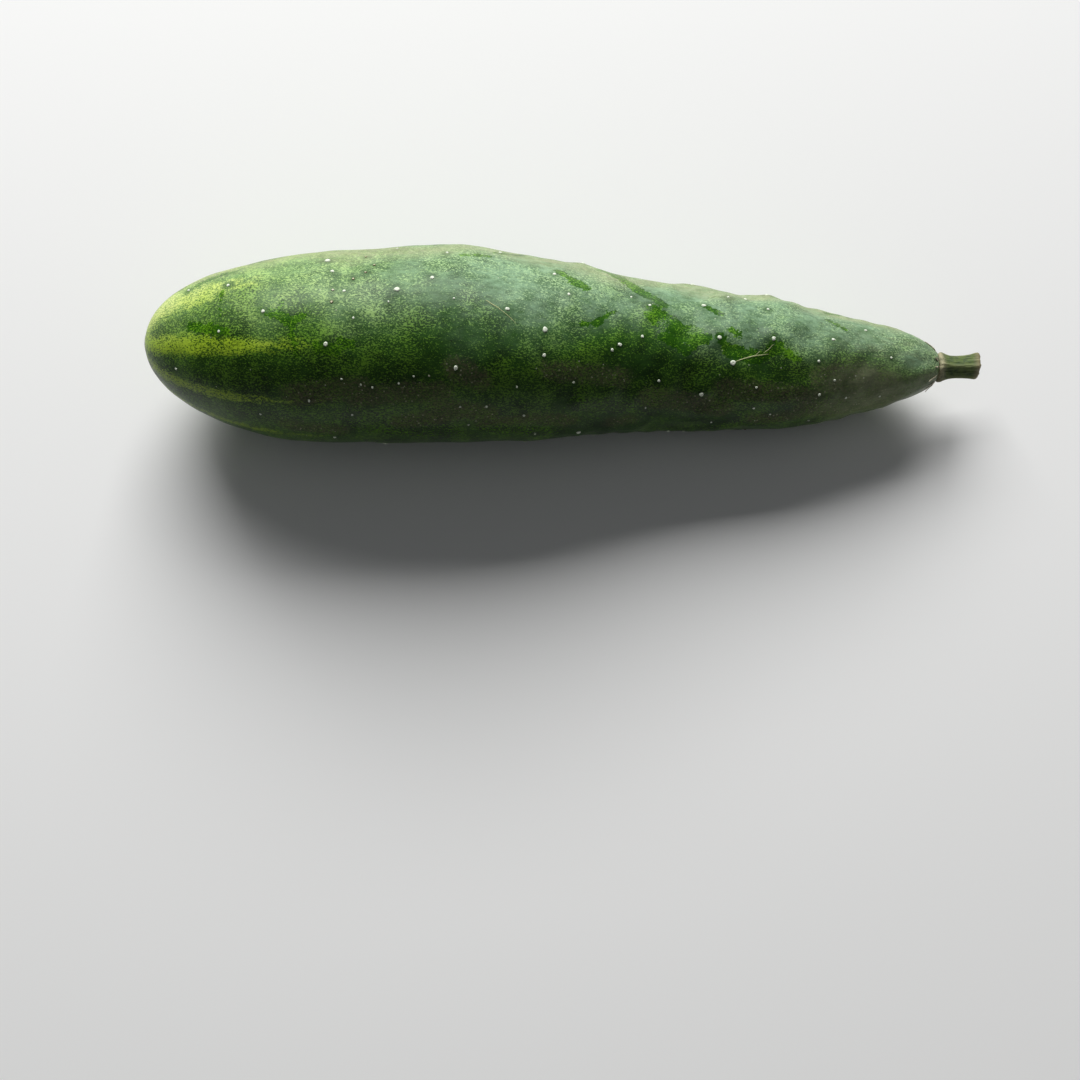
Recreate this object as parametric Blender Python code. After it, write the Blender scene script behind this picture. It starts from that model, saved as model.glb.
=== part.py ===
"""Cucumber lying on its belly: the whole fruit and the stub of the stalk that it was cut from.

Frame: +X runs from the blossom end to the stalk end, +Z is up, and the origin is on the
surface that the fruit lies on, under the middle of the bounding box.
The design dimensions are in millimetres; MM turns them into metres.
"""
import bpy
import bmesh
import numpy as np
from math import atan2, cos, pi, radians, sin, sqrt
from mathutils import Vector

MM = 0.001

# ---- fruit ------------------------------------------------------------------------------
LENGTH = 224.0            # blossom tip to stalk tip, if both ends closed to a point
END_BLOSSOM = 56.0        # length over which the blunt blossom end rounds off
END_STALK = 18.0          # length over which the narrow stalk end rounds off
ROUND_BLOSSOM = 2.15      # how blunt the blossom end is (2 is an ellipse)
LOBE_DEPTH = 0.025        # the three seed chambers show as three soft lobes round the section
LOBE_TURN = 10.0          # degrees that the lobes are turned by
BELLY = 0.0               # height at which the underside is flat from lying
SCAR_RADIUS = 3.0         # round scar that the flower leaves at the blossom end
SCAR_DEPTH = 0.4
FIRST_RING_TURN = 6.6     # degrees round the blossom end where the scar's edge lies
LAST_RING_TURN = 27.0     # degrees short of the end where the stalk's flat seat lies

# X from the blossom tip, half thickness, sideways bend (+Y), height of the middle
STATIONS = (
    (0.0, 26.0, -1.6, 25.8),
    (28.0, 26.2, -1.7, 25.5),
    (56.0, 26.6, -0.7, 25.7),
    (88.0, 27.1, 1.2, 26.1),
    (106.0, 25.6, 0.8, 24.6),
    (120.0, 23.8, 1.0, 22.9),
    (134.0, 21.6, 0.9, 20.8),
    (150.0, 20.0, 1.0, 19.2),
    (170.0, 18.5, 0.4, 17.7),
    (186.0, 16.7, 0.8, 16.3),
    (200.0, 13.5, 1.2, 15.5),
    (213.0, 10.6, 1.3, 15.7),
    (224.0, 9.3, 1.3, 16.2),
)

# Broad humps and hollows of the rind:
# X, angle from straight up towards +Y (degrees), height, half length, half width
HUMPS = (
    (121.0, 74.0, 0.5, 3.5, 4.5),
    (152.0, 78.0, 1.0, 6.0, 7.0),
    (173.0, 76.0, 1.0, 5.0, 6.0),
    (161.0, 48.0, 0.7, 5.0, 5.0),
    (143.0, 12.0, 0.5, 5.0, 5.0),
    (158.0, 5.0, 0.5, 5.0, 5.0),
    (167.0, -20.0, -0.8, 5.0, 4.5),
    (178.0, 8.0, 0.6, 5.0, 5.0),
    (185.0, -25.0, -0.6, 4.5, 4.0),
    (165.0, -105.0, 0.6, 6.0, 7.0),
    (112.0, -75.0, 0.4, 7.0, 6.0),
    (98.0, 35.0, -0.6, 6.0, 6.0),
    (125.0, 128.0, 0.6, 6.0, 6.0),
    (60.0, 100.0, 0.4, 6.0, 6.0),
)

SEGMENTS = 40             # sides of the fruit's section
RINGS_BLOSSOM = 13
RINGS_BODY = 36
RINGS_STALK = 9

# ---- stalk ------------------------------------------------------------------------------
STALK_GAP = 0.3           # space kept between the fruit's seat and the stalk's foot
STALK_LENGTH = 12.0
STALK_RIDGES = 5          # a cucumber's stalk is five-ridged
STALK_RIDGE = 0.07        # ridge height as a share of the radius
STALK_BEND = (1.3, -0.9)  # how far the cut end leans, +Y and +Z
STALK_SEGMENTS = 20
# distance along the stalk, radius: a flared foot, a waist, and a swollen cut end
STALK_STATIONS = (
    (0.0, 3.7),
    (0.5, 4.2),
    (1.2, 4.1),
    (2.2, 3.5),
    (3.6, 3.15),
    (5.4, 3.0),
    (7.4, 3.05),
    (9.2, 3.25),
    (10.6, 3.55),
    (11.5, 3.6),
    (12.0, 3.2),
)


def spline(column, x):
    """Smooth curve through one column of STATIONS, read at X positions x."""
    knots = np.array([s[0] for s in STATIONS])
    value = np.array([s[column] for s in STATIONS])
    gap = np.diff(knots)
    rise = np.diff(value) / gap
    slope = np.empty_like(value)
    slope[1:-1] = (rise[:-1] * gap[1:] + rise[1:] * gap[:-1]) / (gap[:-1] + gap[1:])
    slope[0], slope[-1] = rise[0], rise[-1]
    i = int(np.clip(np.searchsorted(knots, x, side='right') - 1, 0, len(knots) - 2))
    t = (x - knots[i]) / gap[i]
    return float((2 * t**3 - 3 * t**2 + 1) * value[i] + (t**3 - 2 * t**2 + t) * gap[i] * slope[i]
                 + (3 * t**2 - 2 * t**3) * value[i + 1] + (t**3 - t**2) * gap[i] * slope[i + 1])


def half_thickness(x):
    blossom = min(max(1 - x / END_BLOSSOM, 0.0), 1.0)
    stalk = min(max(1 - (LENGTH - x) / END_STALK, 0.0), 1.0)
    return spline(1, x) * sqrt(1 - blossom**ROUND_BLOSSOM) * sqrt(1 - stalk**2)


def rind(x, angle):
    """Point on the rind at X and at an angle from straight up towards +Y, in mm."""
    thick = half_thickness(x)
    ends = min(1.0, x / 40) * min(1.0, (LENGTH - x) / 30)
    r = thick * (1 + LOBE_DEPTH * cos(3 * (angle + radians(LOBE_TURN))) * ends)
    for hump_x, hump_angle, height, half_length, half_width in HUMPS:
        turn = (angle - radians(hump_angle) + pi) % (2 * pi) - pi
        along = (x - hump_x) / half_length
        round_it = turn * max(thick, 4) / half_width
        r += height * np.exp(-0.5 * (along**2 + round_it**2))
    return Vector((x, spline(2, x) + r * sin(angle), spline(3, x) + r * cos(angle))) * MM


def ring_positions():
    """X of each ring: close together where the ends turn in, even along the body."""
    xs = [END_BLOSSOM * (1 - cos(radians(FIRST_RING_TURN + (90 - FIRST_RING_TURN) * k / RINGS_BLOSSOM)))
          for k in range(RINGS_BLOSSOM)]
    body_end = LENGTH - END_STALK
    xs += [END_BLOSSOM + (body_end - END_BLOSSOM) * k / RINGS_BODY for k in range(RINGS_BODY)]
    xs += [LENGTH - END_STALK * (1 - cos(radians(90 + (LAST_RING_TURN - 90) * k / RINGS_STALK)))
           for k in range(RINGS_STALK + 1)]
    return xs


def add_ring(bm, segments, place):
    """A circle whose points are moved by place(angle); returns its edges."""
    made = bmesh.ops.create_circle(bm, cap_ends=False, segments=segments, radius=1.0)
    for v in made['verts']:
        v.co = place(atan2(v.co.y, v.co.x))
    return list({e for v in made['verts'] for e in v.link_edges})


def skin_rings(bm, rings):
    for a, b in zip(rings[:-1], rings[1:]):
        bmesh.ops.bridge_loops(bm, edges=a + b)


def new_material(name, colour, roughness):
    material = bpy.data.materials.new(name)
    material.use_nodes = True
    shader = material.node_tree.nodes['Principled BSDF']
    shader.inputs['Base Color'].default_value = (*colour, 1.0)
    shader.inputs['Roughness'].default_value = roughness
    shader.inputs['Metallic'].default_value = 0.0
    return material


def new_object(name, bm, material, origin):
    """Object whose own origin is at the given point, with all faces out and round faces smooth."""
    bmesh.ops.remove_doubles(bm, verts=bm.verts, dist=0.00001)
    bmesh.ops.recalc_face_normals(bm, faces=bm.faces)
    bmesh.ops.translate(bm, vec=-origin, verts=bm.verts)
    mesh = bpy.data.meshes.new(name)
    bm.to_mesh(mesh)
    bm.free()
    mesh.shade_smooth()
    mesh.set_sharp_from_angle(angle=radians(40))
    mesh.materials.append(material)
    obj = bpy.data.objects.new(name, mesh)
    obj.location = origin
    bpy.context.scene.collection.objects.link(obj)
    return obj


def build_fruit():
    bm = bmesh.new()
    xs = ring_positions()
    rings = []
    # the flower's scar: a shallow round dish in the middle of the blossom end
    scar = Vector((xs[0], spline(2, xs[0]), spline(3, xs[0]))) * MM
    for radius, depth in ((SCAR_RADIUS * 0.55, SCAR_DEPTH), (SCAR_RADIUS * 0.85, SCAR_DEPTH * 0.5)):
        rings.append(add_ring(bm, SEGMENTS, lambda a: scar + Vector(
            (depth, radius * sin(a), radius * cos(a))) * MM))
    for x in xs:
        rings.append(add_ring(bm, SEGMENTS, lambda a: rind(x, a)))
    skin_rings(bm, rings)
    bmesh.ops.contextual_create(bm, geom=rings[0])
    bmesh.ops.contextual_create(bm, geom=rings[-1])
    # the belly: the underside is flat where the fruit lies
    cut = bmesh.ops.bisect_plane(
        bm, geom=bm.verts[:] + bm.edges[:] + bm.faces[:], dist=0.00002,
        plane_co=(0, 0, BELLY * MM), plane_no=(0, 0, -1), clear_outer=True)
    rim = [e for e in cut['geom_cut'] if isinstance(e, bmesh.types.BMEdge) and e.is_boundary]
    for v in {v for e in rim for v in e.verts}:
        v.co.z = BELLY * MM
    bmesh.ops.holes_fill(bm, edges=rim, sides=0)
    origin = Vector((LENGTH / 2, spline(2, LENGTH / 2), spline(3, LENGTH / 2))) * MM
    return new_object('fruit', bm, new_material('rind', (0.030, 0.075, 0.014), 0.40), origin)


def build_stalk():
    bm = bmesh.new()
    seat_x = ring_positions()[-1]
    foot = Vector((seat_x + STALK_GAP, spline(2, seat_x), spline(3, seat_x))) * MM
    rings = []
    for along, radius in STALK_STATIONS:
        share = along / STALK_LENGTH
        middle = Vector((along, STALK_BEND[0] * share**2, STALK_BEND[1] * share**2))
        ridge = STALK_RIDGE * min(1.0, along / 2.0)
        rings.append(add_ring(bm, STALK_SEGMENTS, lambda a: foot + (middle + Vector((
            0, radius * (1 + ridge * cos(STALK_RIDGES * a)) * sin(a),
            radius * (1 + ridge * cos(STALK_RIDGES * a)) * cos(a)))) * MM))
    skin_rings(bm, rings)
    bmesh.ops.contextual_create(bm, geom=rings[0])
    bmesh.ops.contextual_create(bm, geom=rings[-1])
    return new_object('stalk', bm, new_material('stalk_rind', (0.055, 0.085, 0.022), 0.62), foot)


def centre_on_floor(objects):
    """Put the origin on the floor, under the middle of the bounding box."""
    points = np.array([obj.location + v.co for obj in objects for v in obj.data.vertices])
    low, high = points.min(axis=0), points.max(axis=0)
    shift = Vector(((low[0] + high[0]) / 2, (low[1] + high[1]) / 2, low[2]))
    for obj in objects:
        obj.location = obj.location - shift


for old in list(bpy.data.objects):
    bpy.data.objects.remove(old, do_unlink=True)

centre_on_floor([build_fruit(), build_stalk()])
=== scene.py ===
"""Looks of the cucumber: a finely modelled rind with its warts, spine scars, scratches and
blossom scar, and the stalk stub with the dry remains of the calyx round its foot."""

from math import cos, pi, radians, sin

import bpy
import numpy as np
from mathutils import Matrix, Vector


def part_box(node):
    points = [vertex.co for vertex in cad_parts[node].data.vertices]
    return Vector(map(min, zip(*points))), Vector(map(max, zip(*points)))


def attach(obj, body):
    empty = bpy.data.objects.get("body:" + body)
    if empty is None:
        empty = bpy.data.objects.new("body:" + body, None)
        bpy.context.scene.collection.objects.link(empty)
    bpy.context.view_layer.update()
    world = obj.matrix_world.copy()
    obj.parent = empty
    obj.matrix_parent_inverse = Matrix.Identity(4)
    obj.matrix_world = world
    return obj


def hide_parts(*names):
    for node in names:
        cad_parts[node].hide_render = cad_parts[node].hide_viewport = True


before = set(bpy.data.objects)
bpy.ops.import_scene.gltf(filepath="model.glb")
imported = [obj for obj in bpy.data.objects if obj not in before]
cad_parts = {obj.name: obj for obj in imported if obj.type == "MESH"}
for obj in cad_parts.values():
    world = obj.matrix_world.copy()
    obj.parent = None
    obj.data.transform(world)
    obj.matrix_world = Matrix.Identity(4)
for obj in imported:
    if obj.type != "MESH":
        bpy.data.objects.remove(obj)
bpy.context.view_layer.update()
MM = 0.001

# ---------------------------------------------------------------------------------------
# The fruit's shape, in millimetres: X from the blossom tip, angles from straight up to +Y
# ---------------------------------------------------------------------------------------
LENGTH = 224.0
END_BLOSSOM = 56.0
END_STALK = 18.0
ROUND_BLOSSOM = 2.15
LOBE_DEPTH = 0.025
LOBE_TURN = 10.0
FIRST_X = END_BLOSSOM * (1 - cos(radians(6.6)))
LAST_X = LENGTH - END_STALK * (1 - cos(radians(27.0)))

STATIONS = np.array((
    (0.0, 26.0, -1.6, 25.8),
    (28.0, 26.2, -1.7, 25.5),
    (56.0, 26.6, -0.7, 25.7),
    (88.0, 27.1, 1.2, 26.1),
    (106.0, 25.6, 0.8, 24.6),
    (120.0, 23.8, 1.0, 22.9),
    (134.0, 21.6, 0.9, 20.8),
    (150.0, 20.0, 1.0, 19.2),
    (170.0, 18.5, 0.4, 17.7),
    (186.0, 16.7, 0.8, 16.3),
    (200.0, 13.5, 1.2, 15.5),
    (213.0, 10.6, 1.3, 15.7),
    (224.0, 9.3, 1.3, 16.2),
))

# X, angle, height, half length, half width
HUMPS = (
    (121.0, 74.0, 0.5, 3.5, 4.5),
    (129.0, 50.0, 0.4, 5.0, 5.0),
    (152.0, 78.0, 1.0, 6.0, 7.0),
    (161.0, 48.0, 0.7, 5.0, 5.0),
    (173.0, 76.0, 1.0, 5.0, 6.0),
    (165.0, -105.0, 0.6, 6.0, 7.0),
    (143.0, 12.0, 0.5, 5.0, 5.0),
    (167.0, -20.0, -0.8, 5.0, 4.5),
    (158.0, 5.0, 0.5, 5.0, 5.0),
    (178.0, 8.0, 0.6, 5.0, 5.0),
    (185.0, -25.0, -0.6, 4.5, 4.0),
    (192.0, 0.0, 0.4, 4.0, 4.0),
    (136.0, -40.0, 0.4, 6.0, 5.0),
    (150.0, -62.0, 0.4, 6.0, 5.0),
    (112.0, -75.0, 0.4, 7.0, 6.0),
    (98.0, 35.0, -0.6, 6.0, 6.0),
    (70.0, 20.0, 0.3, 7.0, 6.0),
    (125.0, 128.0, 0.6, 6.0, 6.0),
    (148.0, 150.0, 0.4, 5.0, 5.0),
    (95.0, 112.0, 0.5, 6.0, 6.0),
    (60.0, 100.0, 0.4, 6.0, 6.0),
    (180.0, 120.0, 0.5, 5.0, 5.0),
    (45.0, -70.0, 0.3, 6.0, 6.0),
)

# Spine scars: X, angle, diameter, tone (0 white callus, 1 brown-rimmed)
SCARS = [
    (72, 13, 1.6, 0), (81, 20, 1.2, 0.2), (101, 4, 1.2, 0), (111, -6, 1.5, 0), (131, -11, 1.1, 0),
    (129, -15, 0.9, 0), (137, -4, 0.9, 0), (154, 30, 1.2, 0), (158, 0, 1.2, 0), (162, -18, 1.5, 0),
    (173, 4, 1.2, 0), (190, 9, 0.9, 0.2), (186, -13, 0.8, 0), (121, -86, 1.2, 0), (154, -46, 1.3, 0),
    (54, -16, 1.2, 0.1), (88, -31, 1.2, 0.1), (52, 44, 1.5, 0.1), (54, 32, 1.1, 0.1),
    (60, 24, 0.9, 0.9), (62, 50, 0.7, 1), (63, 29, 0.8, 0.8), (65, 36, 0.8, 0.9), (55, 16, 0.9, 0.6),
    (58, 15, 0.9, 0), (55, 8, 1.0, 0.8), (61, -2, 0.7, 0), (70, 6, 0.6, 0), (37, 4, 1.1, 0),
    (25, -7, 0.8, 0), (49, -50, 0.8, 0), (35, -65, 0.7, 0.2), (54, -88, 0.9, 0.2), (111, -21, 1.0, 0.1),
    (104, -41, 0.7, 0), (96, -56, 0.8, 0), (89, -57, 0.6, 0.3), (106, -63, 0.8, 0.1), (119, -38, 0.7, 0.2),
    (91, -74, 0.6, 0.4), (109, -86, 0.6, 0.3), (113, 38, 1.0, 0.1), (117, 20, 0.9, 0), (139, 22, 0.9, 0),
    (166, 48, 0.9, 0), (172, 36, 0.8, 0.1), (169, -38, 0.7, 0.2), (187, -46, 0.9, 0.2), (169, -59, 0.8, 0.2),
    (158, -82, 0.7, 0.2), (174, -68, 0.6, 0.3), (195, -54, 0.7, 0.3), (191, -32, 0.7, 0.1), (151, -106, 0.8, 0),
    (26, 29, 1.0, 0.1), (87, 7, 0.6, 0), (77, -36, 0.6, 0.4), (73, -40, 0.6, 0.3), (66, -42, 0.7, 0.2),
    (63, -40, 0.6, 0.3), (81, -36, 0.6, 0.6), (58, -36, 0.6, 0.2), (139, -60, 0.6, 0.2), (142, -35, 0.8, 0.1),
    (186, -90, 0.6, 0.2), (121, 72, 1.0, 0.1), (152, 74, 1.1, 0.1), (173, 72, 1.0, 0.1), (161, 44, 0.8, 0.2),
    (200, 30, 0.8, 0.1), (207, -5, 0.7, 0.2), (205, -60, 0.7, 0.2), (14, 40, 0.8, 0.2), (12, -40, 0.7, 0.2),
    (60, -62, 0.7, 0.2), (70, 60, 0.8, 0.5), (84, 47, 0.8, 0.3), (98, 62, 0.9, 0.3), (134, 30, 0.7, 0.1),
]
random = np.random.default_rng(20)
for row_angle in (92, 112, 134, 156, 203, 226, 248):
    x = random.uniform(14, 26)
    while x < 208:
        SCARS.append((x, row_angle + random.uniform(-7, 7), random.choice((0.7, 0.8, 1.0, 1.2, 1.4)),
                      random.choice((0, 0.1, 0.2, 0.3, 0.8))))
        x += random.uniform(9, 24)


def spline(column, x):
    knots, value = STATIONS[:, 0], STATIONS[:, column]
    gap = np.diff(knots)
    rise = np.diff(value) / gap
    slope = np.empty_like(value)
    slope[1:-1] = (rise[:-1] * gap[1:] + rise[1:] * gap[:-1]) / (gap[:-1] + gap[1:])
    slope[0], slope[-1] = rise[0], rise[-1]
    i = np.clip(np.searchsorted(knots, x, side='right') - 1, 0, len(knots) - 2)
    t = (x - knots[i]) / gap[i]
    return ((2 * t**3 - 3 * t**2 + 1) * value[i] + (t**3 - 2 * t**2 + t) * gap[i] * slope[i]
            + (3 * t**2 - 2 * t**3) * value[i + 1] + (t**3 - t**2) * gap[i] * slope[i + 1])


def half_thickness(x):
    blossom = np.clip(1 - x / END_BLOSSOM, 0, 1)
    stalk = np.clip(1 - (LENGTH - x) / END_STALK, 0, 1)
    return spline(1, x) * np.sqrt(1 - blossom**ROUND_BLOSSOM) * np.sqrt(1 - stalk**2)


def turn_from(angle, degrees):
    """Signed angle from a direction in degrees, in radians, wrapped to half a turn."""
    return (angle - radians(degrees) + pi) % (2 * pi) - pi


def smooth(value, low, high):
    t = np.clip((value - low) / (high - low), 0, 1)
    return t * t * (3 - 2 * t)


def waves(x, angle, seed, long, round_, count=28):
    """Even random unevenness with no seam round the fruit; long is its length scale in mm and
    round_ the highest number of waves round the section. Its spread is about 1."""
    r = np.random.default_rng(seed)
    total = 0 * x * angle
    for _ in range(count):
        k = r.normal() / long
        m = int(r.integers(-round_, round_ + 1))
        total = total + np.cos(2 * pi * k * x + m * angle + r.uniform(0, 2 * pi))
    return total * np.sqrt(2 / count)


def from_scar(x, angle, thick, scar):
    """Distance over the rind from a spine scar, in mm."""
    return np.hypot(x - scar[0], turn_from(angle, scar[1]) * np.maximum(thick, 4))


def rind(x, angle):
    """Points on the rind in mm, with the fruit's humps, its unevenness and its low warts."""
    x, angle = np.broadcast_arrays(np.asarray(x, float), np.asarray(angle, float))
    thick = half_thickness(x)
    ends = np.minimum(1, x / 40) * np.minimum(1, (LENGTH - x) / 30)
    r = thick * (1 + LOBE_DEPTH * np.cos(3 * (angle + radians(LOBE_TURN))) * ends)
    for hump_x, hump_angle, height, half_length, half_width in HUMPS:
        round_it = turn_from(angle, hump_angle) * np.maximum(thick, 4) / half_width
        r = r + height * np.exp(-0.5 * (((x - hump_x) / half_length)**2 + round_it**2))
    calm = np.minimum(1, thick / 12)
    slender = smooth(x, 95, 150)
    r = r + calm * (0.14 + 0.12 * slender) * waves(x, angle, 3, 38, 5)
    r = r + calm * (0.045 + 0.135 * slender) * waves(x, angle, 4, 14, 11)
    for scar in SCARS:
        if scar[2] < 0.75:
            continue
        far = from_scar(x, angle, thick, scar)
        grown = (scar[2] - 0.4) * (0.30 + 0.45 * smooth(np.array(scar[0]), 90, 160))
        r = r + grown * np.exp(-0.5 * (far / 2.3)**2) - 0.35 * grown * np.exp(-0.5 * (far / 4.6)**2)
    z = spline(3, x) + r * np.cos(angle)
    return np.stack([x, spline(2, x) + r * np.sin(angle), np.maximum(z, 0)], -1)


def facing(x, angle):
    """Outward unit normals of the rind."""
    a, b = rind(x + 0.15, angle), rind(x - 0.15, angle)
    c, d = rind(x, angle + 0.01), rind(x, angle - 0.01)
    n = np.cross(a - b, c - d)
    return n / np.linalg.norm(n, axis=-1, keepdims=True)


# ---------------------------------------------------------------------------------------
# Rings of the fine mesh
# ---------------------------------------------------------------------------------------
AROUND = 244
ALONG = 372
fine = FIRST_X + (LAST_X - FIRST_X) * (0.5 - 0.5 * np.cos(np.linspace(0, pi, 6000)))
step = np.hypot(np.diff(fine), np.diff(half_thickness(fine)))
way = np.concatenate([[0], np.cumsum(step)])
ring_x = np.interp(np.linspace(0, way[-1], ALONG), way, fine)
angles = -pi + 2 * pi * np.arange(AROUND) / AROUND

body = rind(ring_x[:, None], angles[None, :])


def end_rings(edge, centre, depths, shares):
    """Rings that close an end: each is the edge ring drawn in to a share of its size and
    pushed inwards along X by a depth."""
    rings = []
    for depth, share in zip(depths, shares):
        ring = centre + (edge - centre) * share
        ring[:, 0] = edge[:, 0] * share + centre[0] * (1 - share) + depth
        rings.append(ring)
    return rings


blossom_centre = body[0].mean(axis=0)
stalk_centre = body[-1].mean(axis=0)
ripple = 0.10 * np.cos(9 * angles + 1.0) + 0.06 * np.cos(23 * angles)
blossom_rings = end_rings(
    body[0], blossom_centre,
    (0.34, 0.40, 0.44, 0.36, 0.42, 0.30, 0.22, 0.12, -0.15),
    (0.08, 0.20, 0.34, 0.46, 0.58, 0.68, 0.78, 0.88, 0.95))
for k, ring in enumerate(blossom_rings):
    ring[:, 0] += ripple * (0.25, 0.5, 0.8, 1, 1, 1, 0.8, 0.4, 0.1)[k]
stalk_rings = end_rings(
    body[-1], stalk_centre,
    (-0.02, -0.12, -0.28, -0.42, -0.48, -0.48),
    (0.97, 0.93, 0.86, 0.74, 0.5, 0.15))
rings = np.array(blossom_rings + list(body) + stalk_rings)
first_body = len(blossom_rings)
grid_x = np.concatenate([[FIRST_X] * first_body, ring_x, [LAST_X] * len(stalk_rings)])
grid_angle = angles

# the fruit's place in the frame: its box is the CAD fruit's box
cad_fruit_low, cad_fruit_high = (np.array(c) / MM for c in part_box("fruit"))
coarse = rind(np.linspace(FIRST_X, LAST_X, 60)[:, None], angles[None, ::6])
SHIFT = np.array((cad_fruit_low[0] - FIRST_X,
                  (cad_fruit_low[1] + cad_fruit_high[1]) / 2
                  - (coarse[..., 1].min() + coarse[..., 1].max()) / 2, 0.0))


def to_world(points):
    return (np.asarray(points) + SHIFT) * MM


# ---------------------------------------------------------------------------------------
# Where the rind's marks are: capsules X1, angle1, X2, angle2, half width
# ---------------------------------------------------------------------------------------
WIPED = [
    (38.5, 4, 41, 1, 1.1), (41, 1, 44.5, -3, 1.2), (44.5, -3, 47.5, 0, 0.8), (41, 1, 42, 10, 0.5),
    (44.5, -3, 45, -10, 0.6), (45, -10, 46.5, -22, 0.35),
    (17, 45, 23.5, 50, 1.0), (25, 48, 28, 52, 0.7), (17, -2, 22, -4, 1.2), (22, -5, 27, -7, 1.0),
    (24.5, 24, 25.0, 4, 0.25), (52, -18, 57, -19, 1.3),
    (114, 42, 117, 37, 1.1), (117, 37, 121, 29, 1.3), (120.5, 0, 124.5, 2, 0.5),
    (124.5, 2, 129, 12, 0.7), (126, 62, 133, 48, 1.7), (133, 48, 138, 37, 1.7),
    (138, 37, 143, 26, 1.4), (140, 15, 146, 5, 2.6), (146, 5, 151, -3, 2.2), (143, -2, 149, -12, 1.4),
    (155, 29, 158.5, 24, 0.7), (161, 8, 163.5, 5, 0.8), (158, 0, 161, -9, 1.2),
    (161, -9, 169, -12, 1.7), (169, -12, 175, -3, 1.1), (175, -3, 180, -12, 0.8),
    (170, -11, 173, 4, 0.6), (189, 37, 194, 24, 0.45),
    (60, -68, 74, -76, 5.0), (74, -74, 84, -82, 5.0), (68, -60, 73, -66, 1.6),
    (96, -76, 112, -84, 3.0), (120, -55, 134, -60, 2.2), (150, 3, 154, 0, 2.0), (58, -14, 61, -17, 0.8),
    (88, 45, 95, 50, 0.5), (97, 60, 104, 66, 0.8), (30, 60, 38, 66, 0.8), (190, 60, 200, 70, 0.7),
]
DUSTY = [
    (42, -72, 56, -78, 2.4), (45, -46, 62, -42, 3.2), (62, -48, 84, -46, 3.0), (73, -70, 88, -62, 3.0),
    (88, -32, 94, -38, 3.0), (84, -58, 96, -62, 3.0), (112, -68, 118, -70, 2.6), (130, -76, 135, -74, 2.0),
    (95, -70, 110, -66, 2.0), (112, -30, 132, -34, 2.2), (140, -50, 160, -60, 3.0), (160, -40, 185, -46, 2.6),
    (188, -30, 206, -42, 4.0), (184, -66, 208, -70, 4.0), (170, -74, 186, -72, 2.0),
]
r = np.random.default_rng(11)
for _ in range(26):
    x0, a0 = r.uniform(20, 200), r.uniform(85, 245)
    x1, a1 = x0 + r.uniform(-9, 9), a0 + r.uniform(-12, 12)
    (WIPED if r.random() < 0.55 else DUSTY).append((x0, a0, x1, a1, r.uniform(0.5, 2.4)))

# Pale stripes from the blossom end: angle, end X, half width, strength, drift in degrees
STRIPES = (
    (30, 44, 5.2, 0.95, -4), (-17, 66, 2.8, 1.0, 1), (-53, 66, 1.9, 0.95, 2), (-86, 70, 2.2, 0.8, 0),
    (6, 30, 1.2, 0.35, -2), (62, 48, 2.2, 0.6, 0), (98, 62, 2.6, 0.9, 3), (132, 52, 1.8, 0.7, -3),
    (166, 66, 2.4, 0.9, 2), (203, 48, 1.6, 0.6, 0), (238, 60, 2.4, 0.8, -2),
)


def capsules(x, angle, marks):
    """Signed distance in mm to the nearest of the marks, negative inside."""
    thick = np.maximum(half_thickness(x), 4)
    near = np.full(np.broadcast(x, angle).shape, 50.0)
    for x1, a1, x2, a2, half in marks:
        px, py = x - x1, turn_from(angle, a1) * thick
        dx, dy = x2 - x1, radians(a2 - a1) * thick
        t = np.clip((px * dx + py * dy) / (dx * dx + dy * dy + 1e-9), 0, 1)
        near = np.minimum(near, np.hypot(px - t * dx, py - t * dy) - half)
    return near


X, A = np.meshgrid(grid_x, grid_angle, indexing='ij')
T = half_thickness(X)
wiped = capsules(X, A, WIPED)
dusty = capsules(X, A, DUSTY)
scar_near = np.full(X.shape, 50.0)
for scar in SCARS:
    scar_near = np.minimum(scar_near, from_scar(X, A, T, scar) - scar[2] / 2)
stripe = np.zeros(X.shape)
for degrees, end, half, strength, drift in STRIPES:
    centre = degrees + drift * (X - 20) / 30
    off = (A - np.radians(centre) + pi) % (2 * pi) - pi
    width = half * (1 - 0.45 * X / end)
    along = 1 - smooth(X, end * 0.35, end * 1.15)
    stripe = np.maximum(stripe, strength * along * np.exp(-0.5 * (off * np.maximum(T, 3) / np.maximum(width, 0.3))**2))
up_turn = np.degrees((A + pi) % (2 * pi) - pi)
up_turn = np.where(up_turn < -120, up_turn + 360, up_turn)      # -120 to 240
wander = 5 * waves(X, A, 8, 45, 3)
ground = smooth(up_turn + wander, 38, 62) * (1 - 0.75 * smooth(up_turn + 1.5 * wander, 70, 88)) * (1 - smooth(up_turn + 1.5 * wander, 84, 108))
under = np.where(up_turn > 150, up_turn - 360, up_turn)          # -210 to 150
# Painted shade: the side turned away from the light, which darkens the rind and dims its freckles there; grit, a grey
# film and paler stalk-end dust are also placed on this side
painted_shade_side = smooth(-(under + 0.8 * wander), 10, 36) * (1 - 0.5 * smooth(-under, 150, 200))
cloud = smooth(waves(X, A, 9, 26, 7), 0.1, 1.1) * smooth(X, 60, 100)
for cx, ca, cr in ((84, 12, 9), (98, 18, 10), (108, 2, 7), (128, 20, 6), (157, 20, 8), (168, 18, 9),
                   (183, 18, 9), (197, 20, 9), (146, 14, 5), (165, -2, 3.5), (72, 24, 7)):
    cloud = np.maximum(cloud, np.exp(-0.5 * (from_scar(X, A, T, (cx, ca)) / (cr * 0.55))**2))
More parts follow.
